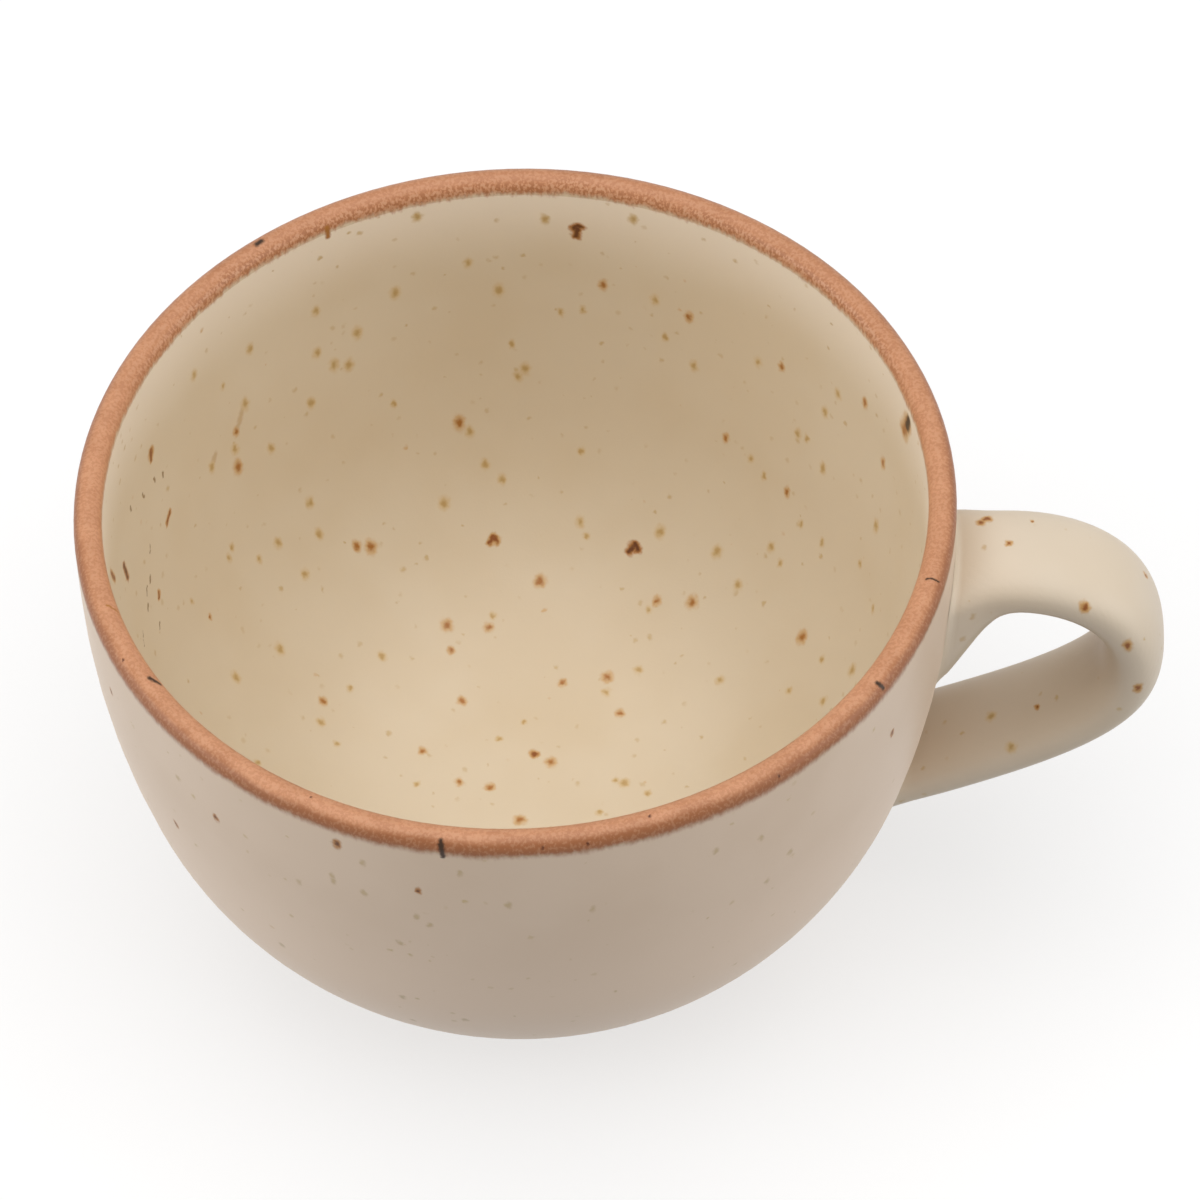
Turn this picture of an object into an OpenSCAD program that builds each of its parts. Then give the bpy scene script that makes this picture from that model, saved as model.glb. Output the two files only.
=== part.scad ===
// Cappuccino cup: a stoneware bowl on a low foot ring with a luted loop handle,
// a cream glaze inside and out, and a coloured band on the lip.
// Millimetres, +Z up, origin on the bowl's axis at the table, handle along +X.

/* [Bowl] */
// Widest diameter at the lip, over the glaze
rim_d = 94; // [88:1:104]
// Height from the table to the top of the lip
cup_h = 62; // [58:1:70]
// Thickness of the lip, over the glaze
lip_t = 3; // [2.4:0.1:4]
// Height of the upright stretch below the lip's round
straight_h = 5.6; // [2:0.1:8]
// Radius of the outer wall's gentle curve
wall_r = 114.4; // [95:0.2:150]
// Height of the gentle curve, inside and outside
wall_curve_h = 27; // [22:0.5:30]
// Radius of the inner wall's gentle curve
inner_wall_r = 92; // [80:1:120]
// Thickness of the floor at the middle, over the glaze
floor_t = 4.8; // [4:0.1:7]

/* [Foot] */
// Diameter of the foot ring where the bowl meets it
foot_d = 52; // [46:1:58]
// Height of the foot ring on its outside
foot_h = 2; // [1.5:0.1:3]
// Depth of the recess inside the foot ring
recess_h = 2.4; // [1.6:0.1:3]
// Width of the foot ring at the table
foot_ring_w = 3.4; // [2.4:0.1:5]
// Distance that each side of the ring draws in towards the table
foot_taper = 0.6; // [0.2:0.1:1.2]
// Radius of the ring's rounded edges
foot_round = 0.5; // [0.2:0.1:0.8]

/* [Handle] */
// Drop from the top of the lip to the middle of the upper root
upper_root_drop = 12.8; // [11:0.1:16]
// Height of the middle of the lower root above the table
lower_root_h = 14.6; // [13:0.1:17]
// Reach of the handle's centreline beyond the lip
handle_reach = 19.9; // [16:0.1:26]
// Rise of the upper arm as it leaves the bowl, in degrees
upper_rise = 22; // [5:1:30]
// Rise of the lower arm as it leaves the bowl, in degrees
lower_rise = 27; // [15:1:35]
// Pull of the upper arm along its own direction at the bowl
upper_pull = 10.5; // [8:0.1:13]
// Pull of the bend upwards from its outermost point
bend_pull_up = 10.2; // [8:0.1:13]
// Pull of the bend downwards from its outermost point
bend_pull_down = 10.3; // [8:0.1:13]
// Pull of the lower arm along its own direction at the bowl
lower_pull = 14; // [10:0.1:17]
// Width of the handle at the upper end, over the glaze
handle_w_upper = 12.4; // [10:0.1:15]
// Width of the handle at the lower end, over the glaze
handle_w_lower = 13.6; // [10:0.1:16]
// Thickness of the handle, over the glaze
handle_t = 6.5; // [5.5:0.1:8]
// Drop of the web in the loop's upper corner, at the bowl
web_h = 14.2; // [8:0.1:16]
// Length along the handle over which the web fades out
web_fade = 3.4; // [2.5:0.1:5]
// Swell of the lower root on its inner face
lower_swell = 2; // [0.5:0.1:3]
// Swell of the lower root on its outer face
lower_outer_swell = 1; // [0:0.1:2]
// Length over which the lower root's swell fades out
lower_fade = 4; // [3:0.1:6]
// Spread of each root on either side, at the bowl
root_spread = 1.1; // [0.2:0.1:2]
// Length over which the roots' spread fades out
spread_fade = 3; // [2:0.1:5]

/* [Coats] */
// Thickness of the glaze, and of the slip that lutes the handle on
glaze_t = 0.4; // [0.3:0.05:0.6]
// Radius of the fillet that the glaze leaves where the handle meets the bowl
root_fillet = 1; // [0.4:0.1:1.4]
// Depth of the lip's coloured band below the lip's round, outside
band_out_h = 0.4; // [0.2:0.1:3]
// Depth of the lip's coloured band below the lip's round, inside
band_in_h = 0.5; // [0.2:0.1:3]

/* [Hidden] */

stoneware_colour = "#cdb797";
slip_colour = "#c2aa88";
cream_colour = "#e6d7bb";
band_colour = "#c98a66";

// degrees of each step along a profile's long arcs, and on its small rounds
arc_step = 3;
round_step = 15;
// sides of the handle's section, and rings on its upper and lower arms
section_sides = 28;
upper_rings = 24;
lower_rings = 22;
// rings between the middle and the edge of a root face, and on the fillet round a root
face_rings = 3;
fillet_rings = 4;
$fn = 180;

// fullness of the handle's section: 2 is an ellipse, more is squarer
section_power = 2.4;
// height of the handle's outermost point between the two roots
bend_share = 0.657;
// most of the distance between the roots that the web may take
web_limit_share = 0.45;
// distance over which a root's face turns square to the handle
root_blend = 9;
// most of the distance to the next ring that the fillet may take
fillet_limit_share = 0.8;
// extra length of a cutting solid past what it cuts
overrun = 2;

rim_r = rim_d / 2;
lip_r = lip_t / 2;
foot_r = foot_d / 2;
lip_z = cup_h - lip_r;
curve_z = lip_z - straight_h;
floor_z = recess_h + floor_t;

// outer wall: a gentle arc, then the bowl's arc, tangent to it and ending at the foot ring
wall_turn = asin(wall_curve_h / wall_r);
wall_c = [rim_r - wall_r, curve_z];
wall_in = [-cos(wall_turn), sin(wall_turn)];
wall_end = wall_c - wall_r * wall_in;
to_foot = [foot_r, foot_h] - wall_end;
bowl_r = (to_foot * to_foot) / (2 * to_foot * wall_in);
bowl_c = wall_end + bowl_r * wall_in;
bowl_turn = atan2(bowl_c.y - foot_h, foot_r - bowl_c.x);

// inner wall: a gentle arc, then a corner arc, tangent to it and to the floor
inner_turn = asin(wall_curve_h / inner_wall_r);
inner_c = [rim_r - lip_t - inner_wall_r, curve_z];
inner_in = [-cos(inner_turn), sin(inner_turn)];
inner_end = inner_c - inner_wall_r * inner_in;
corner_r = (inner_end.y - floor_z) / (1 - sin(inner_turn));
corner_c = inner_end + corner_r * inner_in;

// foot ring: radii at the table, and where its inside meets the recess
ring_out_r = foot_r - foot_taper;
ring_in_r = ring_out_r - foot_ring_w;
recess_r = ring_in_r - foot_taper;

// handle: its two roots on the wall and its outermost point, as [distance from the axis, height]
upper_z = cup_h - upper_root_drop;
upper_root = [outer_r(upper_z, 0), upper_z];
lower_root = [outer_r(lower_root_h, 0), lower_root_h];
root_span = upper_z - lower_root_h;
bend = [rim_r + handle_reach, lower_root_h + bend_share * root_span];
web = min(web_h, web_limit_share * root_span);
upper_arm = [upper_root, upper_root + upper_pull * [cos(upper_rise), sin(upper_rise)],
             bend + [0, bend_pull_up], bend];
lower_arm = [bend, bend - [0, bend_pull_down],
             lower_root + lower_pull * [cos(lower_rise), sin(lower_rise)], lower_root];
centres = concat([for (i = [0:upper_rings]) bezier(upper_arm, i / upper_rings)],
                 [for (i = [1:lower_rings]) bezier(lower_arm, i / lower_rings)]);
headings = concat([for (i = [0:upper_rings]) bezier_heading(upper_arm, i / upper_rings)],
                  [for (i = [1:lower_rings]) bezier_heading(lower_arm, i / lower_rings)]);
last_ring = len(centres) - 1;
runs = [for (i = 0, run = 0; i <= last_ring;
             run = run + (i < last_ring ? norm(centres[i + 1] - centres[i]) : 0), i = i + 1) run];
handle_run = runs[last_ring];

function arc(centre, radius, from, to, step) =
    let (steps = ceil(abs(to - from) / step))
    [for (i = [0:steps]) let (a = from + (to - from) * i / steps) centre + radius * [cos(a), sin(a)]];
function tail(list) = [for (i = [1:len(list) - 1]) list[i]];
function reverse(list) = [for (i = [len(list) - 1:-1:0]) list[i]];
function mix(a, b, share) = a + (b - a) * share;
function smooth(share) = let (s = min(max(share, 0), 1)) s * s * (3 - 2 * s);
function fade(run, length) = exp(-pow(run / length, 2));
function signed_power(v, p) = sign(v) * pow(abs(v), p);

function bezier(p, t) =
    pow(1 - t, 3) * p[0] + 3 * t * pow(1 - t, 2) * p[1] + 3 * t * t * (1 - t) * p[2] + pow(t, 3) * p[3];
function bezier_heading(p, t) =
    let (d = pow(1 - t, 2) * (p[1] - p[0]) + 2 * t * (1 - t) * (p[2] - p[1]) + t * t * (p[3] - p[2]))
    d / norm(d);

// outer wall's radius at a height, on the surface that lies inset below the glaze's face
function outer_r(z, inset) =
    z >= curve_z ? rim_r - inset
    : z >= curve_z - (wall_r - inset) * sin(wall_turn)
    ? wall_c.x + sqrt(pow(wall_r - inset, 2) - pow(z - wall_c.y, 2))
    : bowl_c.x + sqrt(max(pow(bowl_r - inset, 2) - pow(z - bowl_c.y, 2), 0));
function outer_x(y, z, inset) = sqrt(max(pow(outer_r(z, inset), 2) - y * y, 0));

// profiles as [radius, height] points, each lying inset below the glaze's face
function outer_profile(inset) =
    concat(arc(wall_c, wall_r - inset, 0, -wall_turn, arc_step),
           tail(arc(bowl_c, bowl_r - inset, -wall_turn, -bowl_turn, arc_step)));
function inner_profile(inset) =
    concat(arc(inner_c, inner_wall_r + inset, 0, -inner_turn, arc_step),
           tail(arc(corner_c, corner_r + inset, -inner_turn, -90, arc_step)));
function lip_profile(inset) = arc([rim_r - lip_r, lip_z], lip_r - inset, 0, 180, round_step);
function foot_profile() =
    concat(arc([ring_out_r - foot_round, foot_round], foot_round, 0, -90, round_step),
           arc([ring_in_r + foot_round, foot_round], foot_round, -90, -180, round_step));

// one ring of the handle, as [x, y, z] points lying inset below the glaze's face; near a root
// its plane turns from the bowl's wall to a plane square to the handle
function ring(i, inset) =
    let (c = centres[i],
         from_upper = runs[i],
         from_lower = handle_run - runs[i],
         square = smooth(min(from_upper, from_lower) / root_blend),
         at_wall = [from_upper < from_lower ? 1 : -1, 0],
         heading = mix(at_wall, headings[i], square) / norm(mix(at_wall, headings[i], square)),
         outwards = [-heading.y, heading.x],
         spread = root_spread * (fade(from_upper, spread_fade) + fade(from_lower, spread_fade)),
         half_w = mix(handle_w_upper, handle_w_lower, from_upper / handle_run) / 2 + spread - inset,
         swell = fade(from_lower, lower_fade),
         outer_t = handle_t / 2 + lower_outer_swell * swell - inset,
         inner_t = handle_t / 2 + web * fade(from_upper, web_fade) + lower_swell * swell - inset)
    [for (k = [0:section_sides - 1])
        let (a = 360 * k / section_sides,
             y = half_w * signed_power(cos(a), 2 / section_power),
             v = (sin(a) > 0 ? outer_t : inner_t) * signed_power(sin(a), 2 / section_power),
             z = c.y + v * outwards.y,
             scribe = outer_x(y, z, 0) - outer_r(c.y, 0))
        [c.x + square * v * outwards.x + (1 - square) * scribe, y, z]];

// a root's face on the wall: rings from the middle to the edge, then its middle point
function face_point(i, p, share, inset) =
    let (y = p.y * share, z = mix(centres[i].y, p.z, share)) [outer_x(y, z, inset), y, z];
function face_loops(i, inset, edge_inset) =
    [for (j = [1:face_rings]) [for (p = ring(i, edge_inset)) face_point(i, p, j / face_rings, inset)]];
function face_middle(i, inset) = [outer_r(centres[i].y, inset), 0, centres[i].y];

// loops of the fillet round root i, from the wall out to where it meets the handle before ring j
function fillet_loops(i, j) =
    let (step = abs(runs[j] - runs[i]), radius = min(root_fillet, fillet_limit_share * step))
    [for (s = [0:fillet_rings])
        let (a = 90 * s / fillet_rings,
             grow = radius * (1 - sin(a)),
             at_root = ring(i, -grow),
             at_next = ring(j, -grow))
        [for (k = [0:section_sides - 1]) mix(at_root[k], at_next[k], radius * (1 - cos(a)) / step)]];

// triangles that join the loop of points starting at a to the loop starting at b
function band_faces(a, b) =
    [for (k = [0:section_sides - 1]) let (l = (k + 1) % section_sides)
        each [[a + k, b + k, b + l], [a + k, b + l, a + l]]];

// a solid skinned over loops of points, closed by a middle point at each end
module capped_loops(first, loops, last) {
    start = 1 + (len(loops) - 1) * section_sides;
    end = 1 + len(loops) * section_sides;
    polyhedron(
        points = concat([first], [for (loop = loops) each loop], [last]),
        faces = concat(
            [for (k = [0:section_sides - 1]) [0, 1 + k, 1 + (k + 1) % section_sides]],
            [for (j = [0:len(loops) - 2])
                each band_faces(1 + j * section_sides, 1 + (j + 1) * section_sides)],
            [for (k = [0:section_sides - 1]) [end, start + (k + 1) % section_sides, start + k]]));
}

// a sleeve skinned over loops of points, the last joined to the first
module closed_loops(loops) {
    polyhedron(
        points = [for (loop = loops) each loop],
        faces = [for (j = [0:len(loops) - 1])
            each band_faces(j * section_sides, ((j + 1) % len(loops)) * section_sides)]);
}

// the slip between the bowl and a root, from one surface of the wall to the other
module root_slip(i, from_inset, to_inset) {
    capped_loops(face_middle(i, from_inset),
                 concat(face_loops(i, from_inset, glaze_t), reverse(face_loops(i, to_inset, glaze_t))),
                 face_middle(i, to_inset));
}

// a straight cutter along X with a root's outline, through the wall's coat on the handle's side
module root_window(i) {
    outline = [for (p = ring(i, glaze_t)) [p.y, p.z]];
    translate([rim_r / 2, 0, 0])
        rotate([90, 0, 90])
        linear_extrude(rim_r / 2 + overrun)
        polygon(outline);
}

module cup_body() {
    color(stoneware_colour)
        rotate_extrude()
        polygon(concat(
            [[0, floor_z - glaze_t]],
            reverse(inner_profile(glaze_t)),
            reverse(lip_profile(glaze_t)),
            outer_profile(glaze_t),
            foot_profile(),
            [[recess_r, recess_h], [0, recess_h]]));
}

module handle() {
    color(stoneware_colour)
        capped_loops(
            face_middle(0, 0),
            concat(face_loops(0, 0, glaze_t),
                   [for (i = [1:last_ring - 1]) ring(i, glaze_t)],
                   reverse(face_loops(last_ring, 0, glaze_t))),
            face_middle(last_ring, 0));
}

module upper_slip_joint() {
    color(slip_colour) root_slip(0, glaze_t, 0);
}

module lower_slip_joint() {
    color(slip_colour) root_slip(last_ring, 0, glaze_t);
}

module inner_glaze() {
    edge_z = lip_z - band_in_h;
    color(cream_colour)
        rotate_extrude()
        polygon(concat(
            [[rim_r - lip_t, edge_z]],
            inner_profile(0),
            [[0, floor_z], [0, floor_z - glaze_t]],
            reverse(inner_profile(glaze_t)),
            [[rim_r - lip_t + glaze_t, edge_z]]));
}

module outer_glaze() {
    edge_z = lip_z - band_out_h;
    color(cream_colour)
        difference() {
            rotate_extrude()
                polygon(concat(
                    [[rim_r, edge_z]],
                    outer_profile(0),
                    reverse(outer_profile(glaze_t)),
                    [[rim_r - glaze_t, edge_z]]));
            root_window(0);
            root_window(last_ring);
        }
}

module base_glaze() {
    edge_r = recess_r + foot_taper * glaze_t / (recess_h - foot_round);
    color(cream_colour)
        rotate_extrude()
        polygon([[0, recess_h - glaze_t], [edge_r, recess_h - glaze_t], [recess_r, recess_h], [0, recess_h]]);
}

module handle_glaze() {
    color(cream_colour)
        closed_loops(concat(
            fillet_loops(0, 1),
            [for (i = [1:last_ring - 1]) ring(i, 0)],
            reverse(fillet_loops(last_ring, last_ring - 1)),
            [for (i = [last_ring:-1:0]) ring(i, glaze_t)]));
}

module rim_band() {
    out_z = lip_z - band_out_h;
    in_z = lip_z - band_in_h;
    color(band_colour)
        rotate_extrude()
        polygon(concat(
            [[rim_r, out_z]],
            lip_profile(0),
            [[rim_r - lip_t, in_z], [rim_r - lip_t + glaze_t, in_z]],
            reverse(lip_profile(glaze_t)),
            [[rim_r - glaze_t, out_z]]));
}

cup_body();
handle();
upper_slip_joint();
lower_slip_joint();
inner_glaze();
outer_glaze();
base_glaze();
handle_glaze();
rim_band();
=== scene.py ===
"""Looks of the cappuccino cup: speckled cream glaze, terracotta lip, bare foot ring.

Metres, +Z up, origin on the bowl's axis at the table, handle along +X.
"""
import math

import bpy
from mathutils import Matrix, Vector
from mathutils.bvhtree import BVHTree


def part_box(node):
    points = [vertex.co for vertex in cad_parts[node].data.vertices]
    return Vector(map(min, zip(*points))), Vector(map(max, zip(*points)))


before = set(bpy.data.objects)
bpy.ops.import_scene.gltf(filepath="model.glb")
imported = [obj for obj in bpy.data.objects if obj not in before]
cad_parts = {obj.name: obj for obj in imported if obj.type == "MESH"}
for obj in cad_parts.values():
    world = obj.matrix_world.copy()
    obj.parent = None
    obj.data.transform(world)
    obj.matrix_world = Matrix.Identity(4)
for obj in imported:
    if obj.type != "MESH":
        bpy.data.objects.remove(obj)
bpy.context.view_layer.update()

MM = 0.001

# Camera, fitted to the photograph's outline
PHOTO_PX = 1200
FOCAL_PX = 6181
SENSOR = 36
VIEW_ELEVATION = math.radians(51.48)
VIEW_ROLL = math.radians(-1.80)
VIEW_AZIMUTH = math.radians(2.80)
VIEW_DISTANCE = 658 * MM
AIM_RIGHT = 9.06 * MM
AIM_UP = -10.80 * MM
CLIP_NEAR = 10 * MM
CLIP_FAR = 20.0

# Lip, from the frame
LIP_ROUND = 1.5 * MM
RIM_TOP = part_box("rim_band")[1].z
RIM_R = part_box("rim_band")[1].y
LIP_R = RIM_R - LIP_ROUND
LIP_Z = RIM_TOP - LIP_ROUND
BAND_IN = 1.75 * MM
BAND_OUT = 1.95 * MM
# Painted light: the inner glaze is painted paler towards the lip, standing in for the light its upper wall
# catches, and the outer one paler towards the foot, standing in for the white table's bounce, between these
# heights
RIM_PAINTED_LIGHT_FROM = 48 * MM
RIM_PAINTED_LIGHT_TO = 61 * MM
FOOT_PAINTED_BOUNCE_FROM = 52 * MM
FOOT_PAINTED_BOUNCE_TO = 28 * MM

# Smoothing of the solids' meshes
WELD = 0.001 * MM
CREASE_ANGLE = math.radians(32)
HANDLE_LEVELS = 2

# Colours of the fired surfaces, linear
INNER_CREAM = (0.710, 0.603, 0.450)
INNER_CREAM_DEEP = (0.690, 0.575, 0.415)
# Painted light on the upper inner wall
INNER_CREAM_PAINTED_LIGHT = (0.850, 0.745, 0.610)
HANDLE_CREAM = (0.690, 0.585, 0.458)
HANDLE_CREAM_DEEP = (0.670, 0.560, 0.428)
OUTER_CREAM = (0.735, 0.580, 0.445)
OUTER_CREAM_DEEP = (0.705, 0.550, 0.415)
# Painted bounce light on the lower outer wall
OUTER_CREAM_PAINTED_BOUNCE = (0.782, 0.608, 0.462)
OCHRE = (0.515, 0.335, 0.135)
OCHRE_HALO = (0.658, 0.502, 0.293)
OLIVE = (0.590, 0.435, 0.230)
FAINT = (0.580, 0.430, 0.260)
UMBER = (0.300, 0.190, 0.080)
RUST = (0.385, 0.155, 0.034)
RUST_HALO = (0.622, 0.410, 0.203)
RUSSET = (0.260, 0.080, 0.014)
RUSSET_HALO = (0.560, 0.320, 0.115)
IRON = (0.130, 0.038, 0.006)
IRON_HALO = (0.440, 0.195, 0.055)
SOOT = (0.034, 0.012, 0.001)
BAND = (0.430, 0.180, 0.080)
BAND_LIGHT = (0.580, 0.272, 0.140)
BAND_PALE = (0.600, 0.345, 0.205)
BAND_DEEP = (0.290, 0.100, 0.035)
BAND_SPECK = (0.110, 0.030, 0.010)
STONEWARE = (0.560, 0.430, 0.310)
STONEWARE_DEEP = (0.440, 0.325, 0.225)
GROG = (0.200, 0.140, 0.095)

# Gloss, grain, waves, roughness and bump of the surfaces
SHEEN = 0.30
NOISE_MIDDLE = 0.5
FINE_DETAIL = 3.0
CLOUD_GRAIN = 14 * MM
CLOUD_LOW, CLOUD_HIGH = 0.35, 0.7
GLAZE_FINE = 0.25 * MM
GLAZE_WAVE = 6 * MM
WAVE_HEIGHT = 3.0
GLAZE_ROUGH, GLAZE_ROUGH_SPREAD = 0.34, 0.10
GLAZE_BUMP = 0.012 * MM
CLAY_DETAIL = 4.0
CLAY_CLOUD = 5 * MM
CLAY_CLOUD_LOW, CLAY_CLOUD_HIGH = 0.3, 0.7
CLAY_FINE = 0.22 * MM
CLAY_SHIFT, CLAY_SHIFT_GRAIN = 0.2 * MM, 0.3 * MM
CLAY_ROUGH, CLAY_ROUGH_SPREAD = 0.78, 0.15
CLAY_BUMP = 0.06 * MM

# The lip's band: its depths are 0 at the crest and 1 in the middle of its faded edge
CREST_BLEND = 0.3 * MM
WANDER, WANDER_GRAIN = 0.8 * MM, 6 * MM
FAR_FROM, FAR_TO, FAR_SHARE = 5 * MM, 30 * MM, 0.40
FLAT = (1, 1, 0)
BAND_GRAIN, BAND_GRAIN_STRETCH = 0.32 * MM, (1, 1, 0.7)
PATCH_GRAIN = 3.0 * MM
PATCH_LOW, PATCH_HIGH, PATCH_SHARE = 0.35, 0.65, 0.3
# The outer side's darkening, partly deeper colour and partly painted shade
OUTER_EDGE_FROM, OUTER_EDGE_TO, OUTER_EDGE_SHARE = -0.02, 0.32, 0.86
INNER_EDGE_FROM, INNER_EDGE_TO = 0.06, 0.40
DARK_FROM, DARK_TO, DARK_SHARE, DARK_EDGE_SHARE = 0.48, 0.58, 0.22, 0.30
LIGHT_FROM, LIGHT_TO, LIGHT_SHARE, LIGHT_EDGE_SHARE = 0.50, 0.40, 0.22, 0.35
MARK_SHIFT, MARK_SHIFT_GRAIN = 0.35 * MM, 0.4 * MM
TEETH_GRAIN, TEETH_STRETCH = 0.55 * MM, (1, 1, 0.4)
FRAY, FRAY_INSIDE = 0.45, 0.45
BAND_FADE_FROM, BAND_FADE_TO = 1.32, 0.68

# Specks: how they stretch down a wall, how far a spot and its halo reach, and how ragged they are
FAR_AWAY = 1.0
SPECK_RUN = (1.0, 1.0, 0.65)
SPOT_EDGE, SPOT_CORE = 1.0, 0.2
HALO_EDGE, HALO_CORE = 1.75, 0.7
SPECK_SHIFT, SPECK_SHIFT_GRAIN = 0.75 * MM, 0.75 * MM

# Random freckles: the range of their sizes and strengths, and how many there are of each kind
FRECKLE_LEAST, FRECKLE_SPREAD, FRECKLE_CORE = 0.4, 0.8, 0.25
FRECKLE_WEAKEST, FRECKLE_STRENGTH_SPREAD = 0.35, 0.65
OLIVE_FRECKLES, OLIVE_SHARE = {"cell": 2.1 * MM, "radius": 0.44 * MM}, 0.9
TAN_FRECKLES, TAN_SHARE = {"cell": 5.3 * MM, "radius": 0.46 * MM}, 0.5
OCHRE_FRECKLES = {"cell": 3.4 * MM, "radius": 0.80 * MM}
RUST_FRECKLES = {"cell": 4.9 * MM, "radius": 0.85 * MM}
GROG_FRECKLES = {"cell": 1.3 * MM, "radius": 0.28 * MM, "share": 0.6}
UNSEEN_BLEND = 4 * MM
INNER_PLENTY = 1.0
OUTER_PLENTY = 0.4
LIP_PLENTY = 0.5

SPECK_COLOURS = {
    "faint": (FAINT, None),
    "umber": (UMBER, None),
    "ochre": (OCHRE, OCHRE_HALO),
    "rust": (RUST, RUST_HALO),
    "russet": (RUSSET, RUSSET_HALO),
    "dark": (IRON, IRON_HALO),
}

# Specks that the photograph shows: a radius in mm, then the pixels where specks of that size lie
RUSSET_SPECKS = {0.50: [(534, 754)]}
RUST_SPECKS = {
    0.62: [(459, 423), (447, 625), (692, 602), (802, 637), (540, 581), (608, 677), (520, 820), (371, 547),
           (238, 467), (551, 762)],
    0.48: [(603, 285), (689, 317), (490, 787), (657, 601), (562, 683), (620, 713), (423, 751), (459, 782),
           (323, 701), (865, 403), (462, 701), (357, 546), (489, 627), (883, 463)],
    0.40: [(236, 432), (782, 367), (451, 650), (787, 492), (726, 438)],
    0.26: [(210, 617)],
}
OCHRE_SPECKS = {
    0.54: [(499, 290), (395, 293), (334, 365), (245, 404), (280, 649), (236, 677), (444, 503), (660, 532),
           (717, 552), (876, 526), (852, 670), (624, 783), (357, 333), (349, 365), (525, 369)],
    0.46: [(417, 217), (545, 219), (633, 219), (468, 263), (655, 300), (250, 349), (316, 311), (194, 375),
           (317, 353), (235, 449), (212, 467), (311, 403), (518, 376), (470, 432), (485, 464), (502, 479),
           (758, 362), (825, 412), (838, 394), (798, 434), (823, 468), (310, 503), (319, 534), (278, 543),
           (580, 522), (606, 692), (638, 670), (738, 585), (771, 547), (823, 701), (382, 656), (321, 722),
           (720, 680), (271, 448), (694, 366), (305, 574)],
    0.35: [(223, 386), (561, 312), (583, 310), (512, 344), (394, 404), (581, 451), (665, 337), (807, 439),
           (751, 459), (764, 476), (232, 547), (229, 558), (259, 559), (350, 688), (586, 536), (499, 739),
           (822, 543), (801, 524), (860, 564), (873, 609), (822, 659), (789, 690), (599, 812), (417, 784),
           (258, 763), (616, 780), (648, 793), (337, 744), (524, 722), (780, 563), (493, 616), (649, 610)],
    0.28: [(192, 601)],
}
OUTER_DARK_SPECKS = {
    0.44: [(337, 844)],
    0.32: [(418, 891), (111, 691), (176, 824), (216, 818), (892, 733)],
}
OUTER_FAINT_SPECKS = {
    0.54: [(333, 881), (299, 882), (430, 925), (400, 943), (509, 905), (593, 909), (460, 873), (761, 838),
           (790, 852), (282, 945), (332, 876), (363, 863), (364, 893), (417, 917), (402, 997), (413, 1020),
           (465, 1020), (178, 778), (767, 881), (716, 851)],
}
HANDLE_RUSSET_SPECKS = {
    0.48: [(981, 522), (987, 519), (1128, 646), (1138, 688), (1085, 607)],
    0.32: [(1009, 543), (1037, 707), (1146, 575)],
    0.20: [(1032, 521)],
}
HANDLE_OCHRE_SPECKS = {0.50: [(1011, 747), (991, 716)]}
HANDLE_FAINT_SPECKS = {0.52: [(973, 617), (984, 548), (963, 639)]}
BAND_SPECKS = {
    0.26: [(123, 660), (311, 797), (543, 848), (650, 816), (588, 844), (779, 776)],
}

# Longer marks: half a width in mm, then the pixels along each mark
DARK_STROKES = {
    0.48: [[(574, 228), (577, 226), (580, 227)], [(577, 229), (576, 236)]],
    0.46: [[(630, 551), (634, 544), (637, 549)]],
    0.42: [[(124, 566), (128, 578)]],
}
RUSSET_STROKES = {
    0.54: [[(151, 451), (151, 455)]],
    0.42: [[(490, 542), (493, 537), (497, 541)], [(111, 573), (115, 579)]],
    0.32: [[(170, 512), (167, 524)], [(151, 456), (151, 460)], [(159, 592), (159, 598)]],
}
UMBER_STROKES = {
    0.30: [[(150, 576), (150, 582)], [(148, 604), (148, 610)], [(163, 472), (163, 476)],
           [(154, 478), (155, 482)], [(143, 494), (144, 497)], [(130, 507), (131, 511)]],
    0.20: [[(150, 545), (150, 552)], [(147, 586), (147, 596)], [(143, 632), (144, 645)],
           [(160, 622), (160, 628)]],
}
RUST_STROKES = {0.95: [[(908, 422), (904, 431)]]}
FAINT_STROKES = {0.60: [[(243, 408), (240, 420), (237, 430)], [(215, 454), (213, 464)]]}
BAND_SOOT_STROKES = {
    0.90: [[(909, 420), (907, 427)]],
    0.54: [[(441, 845), (442, 851)], [(257, 244), (261, 241)]],
    0.40: [[(877, 683), (880, 685), (883, 688)], [(150, 678), (155, 681), (160, 684)],
           [(441, 840), (441, 845)], [(442, 851), (443, 857)]],
    0.20: [[(926, 579), (932, 579), (939, 582)]],
}
BAND_RUST_STROKES = {
    0.50: [[(327, 228), (328, 237)]],
    0.20: [[(107, 605), (112, 608), (118, 612)]],
}


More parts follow.
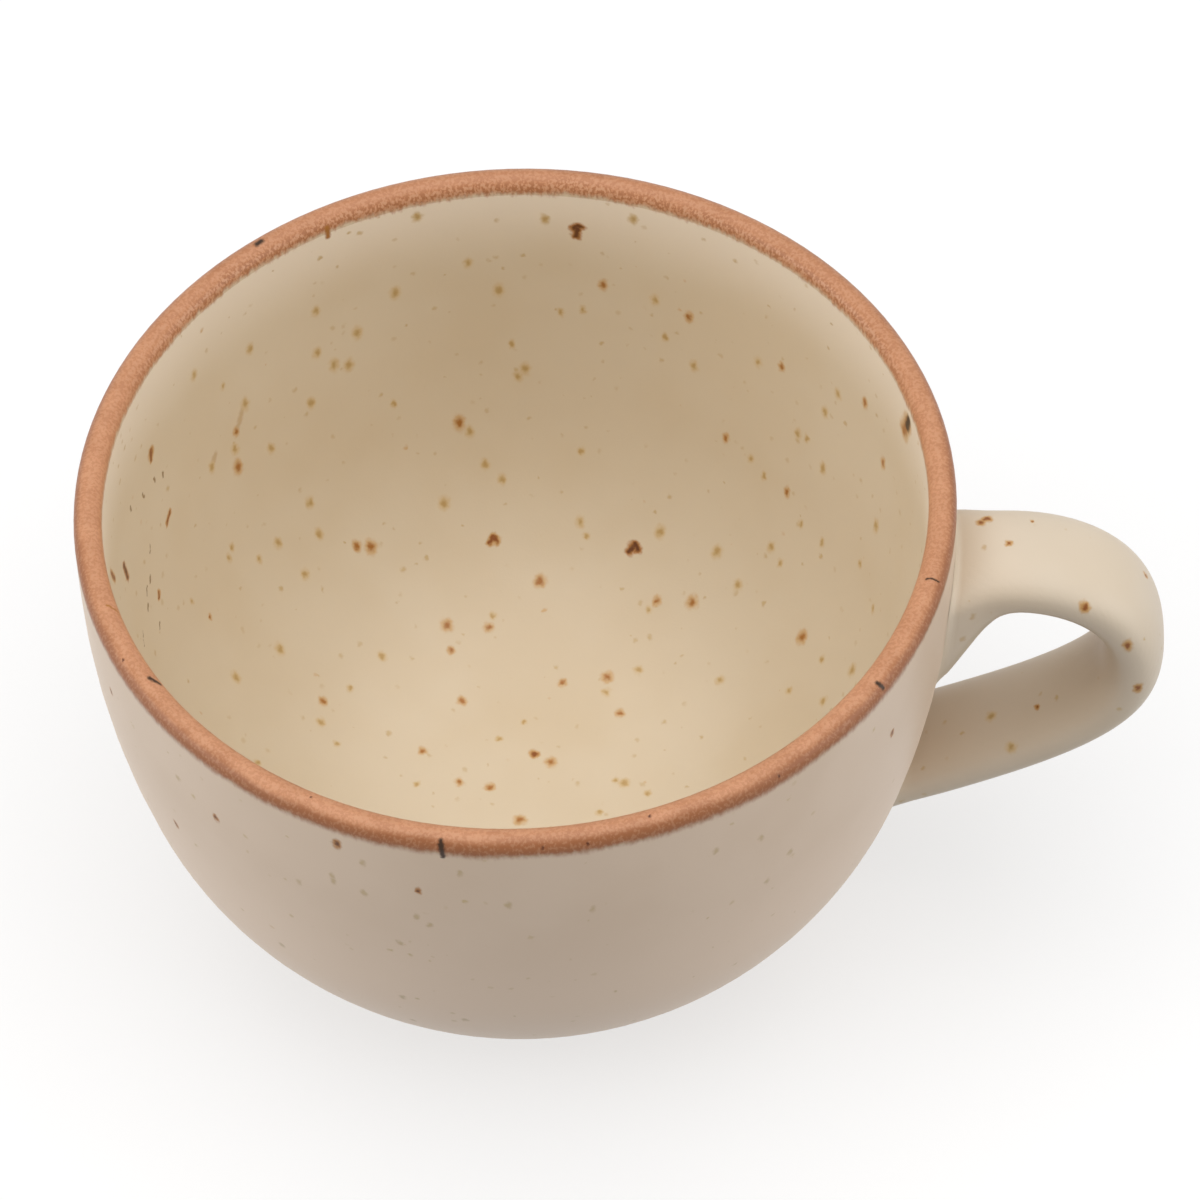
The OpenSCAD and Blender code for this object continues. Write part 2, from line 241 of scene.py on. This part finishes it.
def make_camera():
    """The photograph's camera. Returns its place and its right, up and back directions."""
    across = Vector((1, 0, 0))
    upward = Vector((0, math.sin(VIEW_ELEVATION), math.cos(VIEW_ELEVATION)))
    back = Vector((0, -math.cos(VIEW_ELEVATION), math.sin(VIEW_ELEVATION)))
    right = math.cos(VIEW_ROLL) * across + math.sin(VIEW_ROLL) * upward
    up = math.cos(VIEW_ROLL) * upward - math.sin(VIEW_ROLL) * across
    place = Vector((0, 0, LIP_Z)) + VIEW_DISTANCE * back + AIM_RIGHT * right + AIM_UP * up
    turn = Matrix.Rotation(VIEW_AZIMUTH, 3, "Z")
    place, right, up, back = turn @ place, turn @ right, turn @ up, turn @ back
    data = bpy.data.cameras.new("camera")
    data.sensor_width = SENSOR
    data.lens = SENSOR * FOCAL_PX / PHOTO_PX
    data.clip_start = CLIP_NEAR
    data.clip_end = CLIP_FAR
    camera = bpy.data.objects.new("camera", data)
    camera.matrix_world = Matrix.Translation(place) @ Matrix((right, up, back)).transposed().to_4x4()
    bpy.context.scene.collection.objects.link(camera)
    bpy.context.scene.camera = camera
    return place, right, up, back


camera_place, camera_right, camera_up, camera_back = make_camera()


def surface_tree(*names):
    """A search tree over the faces of some CAD nodes."""
    corners, faces = [], []
    for name in names:
        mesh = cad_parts[name].data
        faces += [[len(corners) + i for i in p.vertices] for p in mesh.polygons]
        corners += [v.co.copy() for v in mesh.vertices]
    return BVHTree.FromPolygons(corners, faces)


cup_tree = surface_tree("inner_glaze", "outer_glaze", "handle_glaze", "rim_band")


def point_at(pixel_x, pixel_y):
    """The point of the cup's surface that the camera sees at a pixel of the photograph."""
    half = PHOTO_PX / 2
    ray = (pixel_x - half) / FOCAL_PX * camera_right + (half - pixel_y) / FOCAL_PX * camera_up - camera_back
    place = cup_tree.ray_cast(camera_place, ray.normalized())[0]
    if place is None:
        raise ValueError(f"no surface of the cup at pixel {pixel_x}, {pixel_y}")
    return place


class Shader:
    """Builds one material's nodes. A method takes numbers, colours or sockets and returns a socket."""

    def __init__(self, name):
        self.material = bpy.data.materials.new(name)
        self.material.use_nodes = True
        self.tree = self.material.node_tree
        self.tree.nodes.clear()
        self.place = self.add("ShaderNodeTexCoord").outputs["Object"]

    def add(self, kind, **settings):
        node = self.tree.nodes.new(kind)
        for name, value in settings.items():
            setattr(node, name, value)
        return node

    def put(self, value, socket):
        if isinstance(value, bpy.types.NodeSocket):
            self.tree.links.new(value, socket)
        elif socket.type == "RGBA":
            socket.default_value = (*value, 1)
        else:
            socket.default_value = value

    def math(self, operation, *values):
        node = self.add("ShaderNodeMath", operation=operation)
        for value, socket in zip(values, node.inputs):
            self.put(value, socket)
        return node.outputs[0]

    def vector(self, operation, *values):
        node = self.add("ShaderNodeVectorMath", operation=operation)
        sockets = (node.inputs[0], node.inputs["Scale"]) if operation == "SCALE" else node.inputs
        for value, socket in zip(values, sockets):
            self.put(value, socket)
        return node.outputs["Value" if operation in ("DISTANCE", "LENGTH", "DOT_PRODUCT") else "Vector"]

    def noise(self, place, grain, detail=2.0, output="Fac"):
        """Noise whose grains are about that many metres across."""
        node = self.add("ShaderNodeTexNoise")
        self.put(place, node.inputs["Vector"])
        node.inputs["Scale"].default_value = 1 / grain
        node.inputs["Detail"].default_value = detail
        return node.outputs[output]

    def clamp(self, value):
        node = self.add("ShaderNodeClamp")
        self.put(value, node.inputs["Value"])
        return node.outputs["Result"]

    def rise(self, value, low, high):
        """A smooth step from 0 at low to 1 at high."""
        node = self.add("ShaderNodeMapRange", interpolation_type="SMOOTHSTEP")
        self.put(value, node.inputs["Value"])
        self.put(low, node.inputs["From Min"])
        self.put(high, node.inputs["From Max"])
        return node.outputs["Result"]

    def mix(self, share, first, second):
        node = self.add("ShaderNodeMix", data_type="RGBA")
        self.put(share, node.inputs["Factor"])
        colours_in = [socket for socket in node.inputs if socket.type == "RGBA"]
        self.put(first, colours_in[0])
        self.put(second, colours_in[1])
        return next(socket for socket in node.outputs if socket.type == "RGBA")

    def finish(self, colour, roughness, height, depth):
        """Joins the colour, the roughness and a height map of some depth to the surface."""
        bump = self.add("ShaderNodeBump")
        bump.inputs["Distance"].default_value = depth
        self.put(height, bump.inputs["Height"])
        surface = self.add("ShaderNodeBsdfPrincipled")
        surface.inputs["Specular IOR Level"].default_value = SHEEN
        self.put(colour, surface.inputs["Base Color"])
        self.put(roughness, surface.inputs["Roughness"])
        self.put(bump.outputs["Normal"], surface.inputs["Normal"])
        output = self.add("ShaderNodeOutputMaterial")
        self.put(surface.outputs["BSDF"], output.inputs["Surface"])
        return self.material


def ragged(shader, amount, grain):
    """The place on the surface, shifted about so that round shapes get ragged edges."""
    shift = shader.vector("SUBTRACT", shader.noise(shader.place, grain, output="Color"), (NOISE_MIDDLE,) * 3)
    return shader.vector("MULTIPLY_ADD", shift, (amount, amount, amount), shader.place)


def nearness(shader, place, specks):
    """Distance to the nearest speck, as a share of its radius. Height counts less, as specks run."""
    place = shader.vector("MULTIPLY", place, SPECK_RUN)
    shares = []
    for radius, pixels in specks.items():
        nearest = FAR_AWAY
        for x, y in pixels:
            centre = point_at(x, y) * Vector(SPECK_RUN)
            nearest = shader.math("MINIMUM", nearest, shader.vector("DISTANCE", place, centre))
        shares.append(shader.math("DIVIDE", nearest, radius * MM))
    while len(shares) > 1:
        shares.append(shader.math("MINIMUM", shares.pop(), shares.pop()))
    return shares[0]


def stroke_nearness(shader, place, strokes):
    """Distance to the nearest long mark, as a share of half its width."""
    nearest = FAR_AWAY / MM
    for half_width, marks in strokes.items():
        for pixels in marks:
            points = [point_at(x, y) for x, y in pixels]
            for start, end in zip(points, points[1:]):
                run = end - start
                offset = shader.vector("SUBTRACT", place, start)
                along = shader.clamp(shader.vector("DOT_PRODUCT", offset, run / run.length_squared))
                away = shader.vector("DISTANCE", offset, shader.vector("SCALE", run, along))
                nearest = shader.math("MINIMUM", nearest, shader.math("DIVIDE", away, half_width * MM))
    return nearest


def unseen(shader, anchor, direction):
    """1 on the side of a plane that the photograph doesn't show, 0 on the other side."""
    offset = shader.vector("SUBTRACT", shader.place, anchor)
    return shader.rise(shader.vector("DOT_PRODUCT", offset, direction), 0, UNSEEN_BLEND)


def freckles(shader, place, cell, radius, share):
    """Random specks, one in some cells: how much of a speck lies at a place, from 0 to 1."""
    node = shader.add("ShaderNodeTexVoronoi")
    shader.put(place, node.inputs["Vector"])
    node.inputs["Scale"].default_value = 1 / cell
    parts = shader.add("ShaderNodeSeparateColor")
    shader.put(node.outputs["Color"], parts.inputs["Color"])
    present = shader.math("LESS_THAN", parts.outputs["Red"], share)
    least, spread = FRECKLE_LEAST * radius / cell, FRECKLE_SPREAD * radius / cell
    size = shader.math("MULTIPLY_ADD", parts.outputs["Green"], spread, least)
    core = shader.math("MULTIPLY", size, FRECKLE_CORE)
    spot = shader.rise(node.outputs["Distance"], size, core)
    strength = shader.math("MULTIPLY_ADD", parts.outputs["Blue"], FRECKLE_STRENGTH_SPREAD, FRECKLE_WEAKEST)
    return shader.math("MULTIPLY", shader.math("MULTIPLY", spot, present), strength)


def speckle(shader, colour, near, spot, halo=None):
    """Lays specks over a colour: a soft spot, with a halo round it where the glaze took up iron."""
    if halo:
        colour = shader.mix(shader.rise(near, HALO_EDGE, HALO_CORE), colour, halo)
    return shader.mix(shader.rise(near, SPOT_EDGE, SPOT_CORE), colour, spot)


def cream(shader, tones, plenty, specks, strokes, hidden, painted_light):
    """Colour of the cream glaze: soft clouds, faint freckles and specks, and painted light where given.

    Specks and strokes hold what the photograph shows, by colour. Behind the plane of hidden, which it
    doesn't show, specks are strewn at random. The painted light is a paler tone that stands in for light or
    bounce the lamps don't give, and the heights where it starts and is full.
    """
    cloud = shader.rise(shader.noise(shader.place, CLOUD_GRAIN), CLOUD_LOW, CLOUD_HIGH)
    colour = shader.mix(cloud, *tones)
    # Painted light: a paler tone blended in between two heights, standing in for light or bounce the lamps
    # don't give
    if painted_light:
        painted_light_tone, painted_light_from, painted_light_to = painted_light
        parts = shader.add("ShaderNodeSeparateXYZ")
        shader.put(shader.place, parts.inputs[0])
        colour = shader.mix(shader.rise(parts.outputs["Z"], painted_light_from, painted_light_to), colour, painted_light_tone)
    place = ragged(shader, SPECK_SHIFT, SPECK_SHIFT_GRAIN)
    olive_share = freckles(shader, place, **OLIVE_FRECKLES, share=OLIVE_SHARE * plenty)
    colour = shader.mix(olive_share, colour, OLIVE)
    tan_share = freckles(shader, place, **TAN_FRECKLES, share=TAN_SHARE * plenty)
    colour = shader.mix(tan_share, colour, RUST_HALO)
    if hidden:
        out_of_sight = unseen(shader, *hidden)
        for kind, tone in ((OCHRE_FRECKLES, OCHRE), (RUST_FRECKLES, RUST)):
            spots = freckles(shader, place, **kind, share=plenty)
            colour = shader.mix(shader.math("MULTIPLY", out_of_sight, spots), colour, tone)
    for kind, (spot, halo) in SPECK_COLOURS.items():
        if kind in specks:
            colour = speckle(shader, colour, nearness(shader, place, specks[kind]), spot, halo)
        if kind in strokes:
            near = stroke_nearness(shader, place, strokes[kind])
            colour = speckle(shader, colour, near, spot, halo)
    return colour


def band_depth(shader):
    """How a place lies in the lip's band.

    Returns its depth below the crest, then 1 outside the lip and 0 inside, then 1 on the cup's far side
    and 0 on its near side.
    """
    parts = shader.add("ShaderNodeSeparateXYZ")
    shader.put(shader.place, parts.inputs[0])
    radius = shader.vector("LENGTH", shader.vector("MULTIPLY", shader.place, FLAT))
    outside = shader.rise(radius, LIP_R - CREST_BLEND, LIP_R + CREST_BLEND)
    edge = shader.math("MULTIPLY_ADD", outside, BAND_OUT - BAND_IN, BAND_IN)
    wander = shader.math("SUBTRACT", shader.noise(shader.place, WANDER_GRAIN), NOISE_MIDDLE)
    below = shader.math("SUBTRACT", RIM_TOP, parts.outputs["Z"])
    depth = shader.math("MULTIPLY_ADD", wander, WANDER, below)
    far = shader.rise(parts.outputs["Y"], FAR_FROM, FAR_TO)
    return shader.math("DIVIDE", depth, edge), outside, far


def banded(shader, colour):
    """Lays the terracotta band of the lip over a glaze's colour, mottled, with an outer side that darkens
    downwards, partly painted shade, and an edge that fades out.
    """
    depth, outside, far = band_depth(shader)
    grain_place = shader.vector("MULTIPLY", shader.place, BAND_GRAIN_STRETCH)
    grain = shader.noise(grain_place, BAND_GRAIN, FINE_DETAIL)
    patch = shader.rise(shader.noise(shader.place, PATCH_GRAIN), PATCH_LOW, PATCH_HIGH)
    inside = shader.math("SUBTRACT", 1.0, outside)
    # The outer side darkens towards its lower edge: partly the band's deeper colour where it runs thin,
    # partly painted shade of the lip's outer side, which faces down
    outer_edge_deep_and_shade = shader.math("MULTIPLY", shader.rise(depth, OUTER_EDGE_FROM, OUTER_EDGE_TO), outside)
    far_inside = shader.math("MULTIPLY", inside, far)
    inner_edge = shader.math("MULTIPLY", shader.rise(depth, INNER_EDGE_FROM, INNER_EDGE_TO), far_inside)
    band = shader.mix(shader.math("MULTIPLY", patch, PATCH_SHARE), BAND_LIGHT, BAND)
    band = shader.mix(shader.math("MULTIPLY", outer_edge_deep_and_shade, OUTER_EDGE_SHARE), band, BAND_DEEP)
    band = shader.mix(shader.math("MULTIPLY", far, FAR_SHARE), band, BAND)
    dark = shader.math("MULTIPLY_ADD", inner_edge, DARK_EDGE_SHARE, DARK_SHARE)
    dark_grain = shader.rise(grain, DARK_FROM, DARK_TO)
    band = shader.mix(shader.math("MULTIPLY", dark_grain, dark), band, BAND_DEEP)
    pale = shader.math("MULTIPLY_ADD", inner_edge, LIGHT_EDGE_SHARE, LIGHT_SHARE)
    pale_grain = shader.rise(grain, LIGHT_FROM, LIGHT_TO)
    band = shader.mix(shader.math("MULTIPLY", pale_grain, pale), band, BAND_PALE)
    place = ragged(shader, MARK_SHIFT, MARK_SHIFT_GRAIN)
    band = speckle(shader, band, nearness(shader, place, BAND_SPECKS), BAND_SPECK)
    teeth_place = shader.vector("MULTIPLY", shader.place, TEETH_STRETCH)
    teeth = shader.math("SUBTRACT", shader.noise(teeth_place, TEETH_GRAIN, FINE_DETAIL), NOISE_MIDDLE)
    fray = shader.math("MULTIPLY_ADD", inside, FRAY_INSIDE, FRAY)
    frayed = shader.math("MULTIPLY_ADD", teeth, fray, depth)
    colour = shader.mix(shader.rise(frayed, BAND_FADE_FROM, BAND_FADE_TO), colour, band)
    colour = speckle(shader, colour, stroke_nearness(shader, place, BAND_RUST_STROKES), RUST)
    return speckle(shader, colour, stroke_nearness(shader, place, BAND_SOOT_STROKES), SOOT)


def glaze(name, tones, plenty, specks=None, strokes=None, hidden=None, painted_light=None, band=False):
    """The satin glaze, with or without the lip's band."""
    shader = Shader(name)
    colour = cream(shader, tones, plenty, specks or {}, strokes or {}, hidden, painted_light)
    if band:
        colour = banded(shader, colour)
    fine = shader.noise(shader.place, GLAZE_FINE, FINE_DETAIL)
    wave = shader.noise(shader.place, GLAZE_WAVE)
    roughness = shader.math("MULTIPLY_ADD", fine, GLAZE_ROUGH_SPREAD, GLAZE_ROUGH)
    height = shader.math("MULTIPLY_ADD", wave, WAVE_HEIGHT, fine)
    return shader.finish(colour, roughness, height, GLAZE_BUMP)


def stoneware(name):
    """Bare fired clay with fine grog."""
    shader = Shader(name)
    clouds = shader.noise(shader.place, CLAY_CLOUD, CLAY_DETAIL)
    cloud = shader.rise(clouds, CLAY_CLOUD_LOW, CLAY_CLOUD_HIGH)
    colour = shader.mix(cloud, STONEWARE, STONEWARE_DEEP)
    place = ragged(shader, CLAY_SHIFT, CLAY_SHIFT_GRAIN)
    colour = shader.mix(freckles(shader, place, **GROG_FRECKLES), colour, GROG)
    fine = shader.noise(shader.place, CLAY_FINE, CLAY_DETAIL)
    roughness = shader.math("MULTIPLY_ADD", fine, CLAY_ROUGH_SPREAD, CLAY_ROUGH)
    return shader.finish(colour, roughness, fine, CLAY_BUMP)


def smoothing(name, levels):
    """Geometry nodes that join split vertices, subdivide, and shade smooth up to the crease angle."""
    group = bpy.data.node_groups.new(name, "GeometryNodeTree")
    group.interface.new_socket("Geometry", in_out="INPUT", socket_type="NodeSocketGeometry")
    group.interface.new_socket("Geometry", in_out="OUTPUT", socket_type="NodeSocketGeometry")
    nodes, links = group.nodes, group.links
    start = nodes.new("NodeGroupInput")
    plain = nodes.new("GeometryNodeRemoveAttribute")
    plain.inputs["Name"].default_value = "custom_normal"
    joined = nodes.new("GeometryNodeMergeByDistance")
    joined.inputs["Distance"].default_value = WELD
    angle = nodes.new("GeometryNodeInputMeshEdgeAngle")
    steep = nodes.new("ShaderNodeMath")
    steep.operation = "GREATER_THAN"
    steep.inputs[1].default_value = CREASE_ANGLE
    finer = nodes.new("GeometryNodeSubdivisionSurface")
    finer.inputs["Level"].default_value = levels
    smooth = nodes.new("GeometryNodeSetShadeSmooth")
    crisp = nodes.new("GeometryNodeSetShadeSmooth")
    crisp.domain = "EDGE"
    crisp.inputs["Shade Smooth"].default_value = False
    end = nodes.new("NodeGroupOutput")
    links.new(start.outputs[0], plain.inputs["Geometry"])
    links.new(plain.outputs["Geometry"], joined.inputs["Geometry"])
    links.new(joined.outputs["Geometry"], finer.inputs["Mesh"])
    links.new(finer.outputs["Mesh"], smooth.inputs["Geometry"])
    links.new(smooth.outputs["Geometry"], crisp.inputs["Geometry"])
    links.new(angle.outputs["Unsigned Angle"], steep.inputs[0])
    links.new(steep.outputs[0], finer.inputs["Edge Crease"])
    links.new(steep.outputs[0], crisp.inputs["Selection"])
    links.new(crisp.outputs["Geometry"], end.inputs[0])
    return group


def dress(node, material, skin):
    """Gives a CAD node its material and smooth shading."""
    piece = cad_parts[node]
    piece.data.materials.clear()
    piece.data.materials.append(material)
    piece.modifiers.new("smooth_skin", "NODES").node_group = skin


smooth_skin = smoothing("smooth_skin", 0)
bare_clay = stoneware("bare_stoneware")
for clay_node in ("cup_body", "handle", "upper_slip_joint", "lower_slip_joint"):
    dress(clay_node, bare_clay, smooth_skin)
inner_tones = (INNER_CREAM, INNER_CREAM_DEEP)
outer_tones = (OUTER_CREAM, OUTER_CREAM_DEEP)
handle_tones = (HANDLE_CREAM, HANDLE_CREAM_DEEP)
near_lip = Vector((0, -RIM_R, RIM_TOP))
behind_near_lip = Vector((0, -math.sin(VIEW_ELEVATION), -math.cos(VIEW_ELEVATION)))
middle = Vector((0, 0, 0))
backward = Vector((0, 1, 0))
upward = Vector((0, 0, 1))
dress("inner_glaze", glaze(
    "inner_cream_glaze", inner_tones, INNER_PLENTY, band=True, hidden=(near_lip, behind_near_lip),
    # Painted light: the upper inner wall is painted paler
    painted_light=(INNER_CREAM_PAINTED_LIGHT, RIM_PAINTED_LIGHT_FROM, RIM_PAINTED_LIGHT_TO),
    specks={"russet": RUSSET_SPECKS, "rust": RUST_SPECKS, "ochre": OCHRE_SPECKS},
    strokes={"dark": DARK_STROKES, "russet": RUSSET_STROKES, "rust": RUST_STROKES,
             "umber": UMBER_STROKES, "faint": FAINT_STROKES},
), smooth_skin)
dress("outer_glaze", glaze(
    "outer_cream_glaze", outer_tones, OUTER_PLENTY, band=True, hidden=(middle, backward),
    # Painted bounce light: the lower outer wall is painted paler
    painted_light=(OUTER_CREAM_PAINTED_BOUNCE, FOOT_PAINTED_BOUNCE_FROM, FOOT_PAINTED_BOUNCE_TO),
    specks={"dark": OUTER_DARK_SPECKS, "faint": OUTER_FAINT_SPECKS},
), smooth_skin)
dress("rim_band", glaze("lip_glaze", inner_tones, LIP_PLENTY, band=True), smooth_skin)
dress("base_glaze", glaze(
    "base_cream_glaze", outer_tones, OUTER_PLENTY, hidden=(middle, upward),
), smooth_skin)
dress("handle_glaze", glaze(
    "handle_cream_glaze", handle_tones, OUTER_PLENTY, hidden=(middle, backward),
    specks={"russet": HANDLE_RUSSET_SPECKS, "ochre": HANDLE_OCHRE_SPECKS, "faint": HANDLE_FAINT_SPECKS},
), smoothing("fine_skin", HANDLE_LEVELS))


def seen_directly(tree):
    """1 for rays from the camera, a gloss or a clear surface, which see the white background."""
    path = tree.nodes.new("ShaderNodeLightPath")
    seen = path.outputs["Is Camera Ray"]
    for name in ("Is Glossy Ray", "Is Transmission Ray"):
        either = tree.nodes.new("ShaderNodeMath")
        either.operation = "MAXIMUM"
        tree.links.new(seen, either.inputs[0])
        tree.links.new(path.outputs[name], either.inputs[1])
        seen = either.outputs[0]
    return seen


FLOOR_HALF = 4.0
FLOOR_COLOUR = (0.40, 0.40, 0.40)
FLOOR_DROP = 0.05 * MM
NEAR_GLOW = 0.6
WHITE = (1.0, 1.0, 1.0)
NEAR_FLOOR = 0.30
FAR_FLOOR = 0.70


def make_floor():
    """A white floor that keeps the cup's shadow and runs out into a white background."""
    shader = Shader("floor")
    seen = seen_directly(shader.tree)
    plain = shader.add("ShaderNodeBsdfDiffuse")
    shader.put(shader.mix(seen, FLOOR_COLOUR, WHITE), plain.inputs["Color"])
    glow = shader.add("ShaderNodeEmission")
    far = shader.rise(shader.vector("LENGTH", shader.place), NEAR_FLOOR, FAR_FLOOR)
    share = shader.math("MAXIMUM", far, NEAR_GLOW)
    spread = shader.add("ShaderNodeMixShader")
    shader.put(shader.math("MULTIPLY", share, seen), spread.inputs["Fac"])
    shader.put(plain.outputs[0], spread.inputs[1])
    shader.put(glow.outputs[0], spread.inputs[2])
    clear = shader.add("ShaderNodeBsdfTransparent")
    sides = shader.add("ShaderNodeMixShader")
    shader.put(shader.add("ShaderNodeNewGeometry").outputs["Backfacing"], sides.inputs["Fac"])
    shader.put(spread.outputs[0], sides.inputs[1])
    shader.put(clear.outputs[0], sides.inputs[2])
    shader.put(sides.outputs[0], shader.add("ShaderNodeOutputMaterial").inputs["Surface"])
    mesh = bpy.data.meshes.new("floor")
    corners = [(-FLOOR_HALF, -FLOOR_HALF, 0), (FLOOR_HALF, -FLOOR_HALF, 0),
               (FLOOR_HALF, FLOOR_HALF, 0), (-FLOOR_HALF, FLOOR_HALF, 0)]
    mesh.from_pydata(corners, [], [(0, 1, 2, 3)])
    mesh.materials.append(shader.material)
    floor = bpy.data.objects.new("floor", mesh)
    floor.location.z = -FLOOR_DROP
    floor.visible_diffuse = False
    bpy.context.scene.collection.objects.link(floor)


def make_light(name, place, size, power):
    """A square soft box that faces the cup."""
    data = bpy.data.lights.new(name, "AREA")
    data.shape = "SQUARE"
    data.size = size
    data.energy = power
    light = bpy.data.objects.new(name, data)
    light.location = place
    light.visible_camera = False
    light.rotation_euler = (Vector((0, 0, LIP_Z)) - Vector(place)).to_track_quat("-Z", "Y").to_euler()
    bpy.context.scene.collection.objects.link(light)


WORLD_STRENGTH = 0.335
LIGHTS = {
    "top_light": {"place": (0, 0, 1.0), "size": 1.2, "power": 8.2},
    "left_light": {"place": (-1.0, -0.25, 0.32), "size": 0.8, "power": 5.2},
    "right_light": {"place": (1.0, -0.25, 0.32), "size": 0.8, "power": 4.2},
}


def make_world():
    """An even white room, plain white where it is seen directly."""
    world = bpy.data.worlds.new("studio")
    world.use_nodes = True
    tree = world.node_tree
    background = next(n for n in tree.nodes if n.type == "BACKGROUND")
    strength = tree.nodes.new("ShaderNodeMapRange")
    strength.inputs["To Min"].default_value = WORLD_STRENGTH
    strength.inputs["To Max"].default_value = 1.0
    tree.links.new(seen_directly(tree), strength.inputs["Value"])
    tree.links.new(strength.outputs["Result"], background.inputs["Strength"])
    background.inputs["Color"].default_value = (*WHITE, 1)
    bpy.context.scene.world = world


make_floor()
make_world()
for light_name, light_settings in LIGHTS.items():
    make_light(light_name, **light_settings)
bpy.context.scene.view_settings.view_transform = "Standard"
